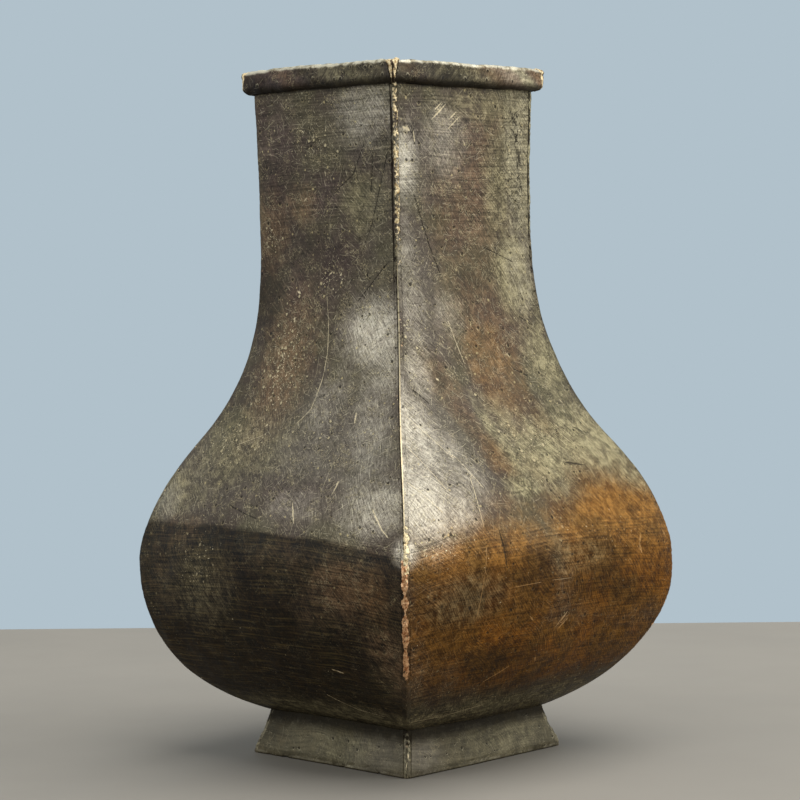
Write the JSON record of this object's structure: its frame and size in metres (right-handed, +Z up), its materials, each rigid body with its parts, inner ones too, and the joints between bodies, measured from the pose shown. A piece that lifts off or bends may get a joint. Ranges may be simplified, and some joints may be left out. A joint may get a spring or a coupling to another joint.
{
  "type": "square vase",
  "caption": "Square metal vase with a bowed belly, a tall neck and a thick lip on a splayed foot, made of mitred and brazed plates.",
  "frame": {"origin": "centre of the underside of the foot, on the surface that the vase stands on", "axes": "+Z up through the mouth, the four faces square to X and Y, the front face towards -Y"},
  "size_m": [0.1326, 0.1326, 0.225],
  "materials": {
    "patinated_copper": "dark brown and olive patina over filed copper, half gloss, mottled and scratched",
    "worn_copper": "grey green patina, worn bright along the edges",
    "braze": "pitted pink and cream braze metal, filed flush, dark in its pits"
  },
  "bodies": {
    "root": {"wall_front": "patinated_copper", "wall_right": "patinated_copper", "wall_back": "patinated_copper", "wall_left": "patinated_copper", "foot_front": "worn_copper", "foot_right": "worn_copper", "foot_back": "worn_copper", "foot_left": "worn_copper", "lip_front": "worn_copper", "lip_right": "worn_copper", "lip_back": "worn_copper", "lip_left": "worn_copper", "base_plate": "patinated_copper", "seam_front_right": "braze", "seam_right_back": "braze", "seam_back_left": "braze", "seam_left_front": "braze", "foot_seam_front_right": "braze", "foot_seam_right_back": "braze", "foot_seam_back_left": "braze", "foot_seam_left_front": "braze", "lip_wedge_front_right": "braze", "lip_wedge_right_back": "braze", "lip_wedge_back_left": "braze", "lip_wedge_left_front": "braze"}
  },
  "joints": []
}
